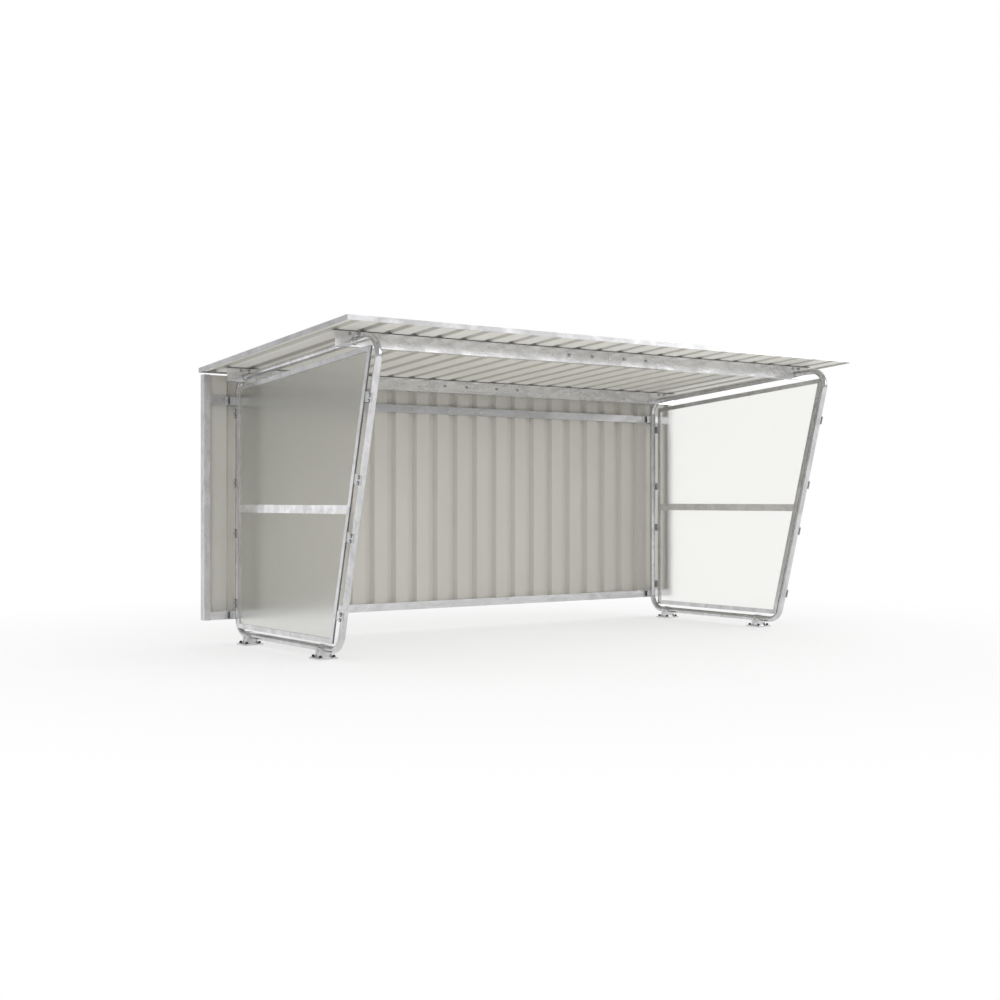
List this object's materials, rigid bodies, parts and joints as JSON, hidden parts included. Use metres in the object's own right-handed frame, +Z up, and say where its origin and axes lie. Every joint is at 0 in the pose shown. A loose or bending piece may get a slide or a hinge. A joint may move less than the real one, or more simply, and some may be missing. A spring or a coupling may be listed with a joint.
{
  "type": "bike shelter",
  "caption": "Open-fronted bicycle shelter of galvanised bent tube with a mono-pitch ribbed roof, a ribbed back wall and frosted side panels.",
  "frame": {"origin": "on the ground, in the middle of the shelter's length and of the roof's depth", "axes": "+X along the length towards the right-hand end seen from the open front, +Y to the back wall, +Z up"},
  "size_m": [4.83, 2.33, 2.29],
  "materials": {
    "galvanised_steel": "hot-dip galvanised, dull with a faint spangle",
    "coated_sheet": "grey-white coil coating, satin",
    "frosted_pane": "frosted, translucent",
    "black_plastic": "moulded caps over the anchor nuts, satin"
  },
  "bodies": {
    "root": {"left_side_frame": "galvanised_steel", "right_side_frame": "galvanised_steel", "left_front_foot": "galvanised_steel", "left_rear_foot": "galvanised_steel", "right_front_foot": "galvanised_steel", "right_rear_foot": "galvanised_steel", "rail_straps": "galvanised_steel", "left_panel_frame": "galvanised_steel", "right_panel_frame": "galvanised_steel", "left_panel_bar": "galvanised_steel", "right_panel_bar": "galvanised_steel", "left_panel_clips": "galvanised_steel", "right_panel_clips": "galvanised_steel", "front_purlin_left": "galvanised_steel", "front_purlin_right": "galvanised_steel", "rear_purlin_left": "galvanised_steel", "rear_purlin_right": "galvanised_steel", "purlin_splices": "galvanised_steel", "rail_cleats": "galvanised_steel", "front_flashing": "galvanised_steel", "rear_flashing": "galvanised_steel", "left_flashing": "galvanised_steel", "right_flashing": "galvanised_steel", "upper_girt_left": "galvanised_steel", "upper_girt_right": "galvanised_steel", "lower_girt": "galvanised_steel", "girt_sleeve": "galvanised_steel", "girt_brackets": "galvanised_steel", "left_wall_trim": "galvanised_steel", "right_wall_trim": "galvanised_steel", "roof_sheet_1": "coated_sheet", "wall_sheet_1": "coated_sheet", "roof_sheet_2": "coated_sheet", "wall_sheet_2": "coated_sheet", "roof_sheet_3": "coated_sheet", "wall_sheet_3": "coated_sheet", "roof_sheet_4": "coated_sheet", "wall_sheet_4": "coated_sheet", "roof_sheet_5": "coated_sheet", "wall_sheet_5": "coated_sheet", "left_lower_pane": "frosted_pane", "left_upper_pane": "frosted_pane", "right_lower_pane": "frosted_pane", "right_upper_pane": "frosted_pane"}
  },
  "joints": []
}
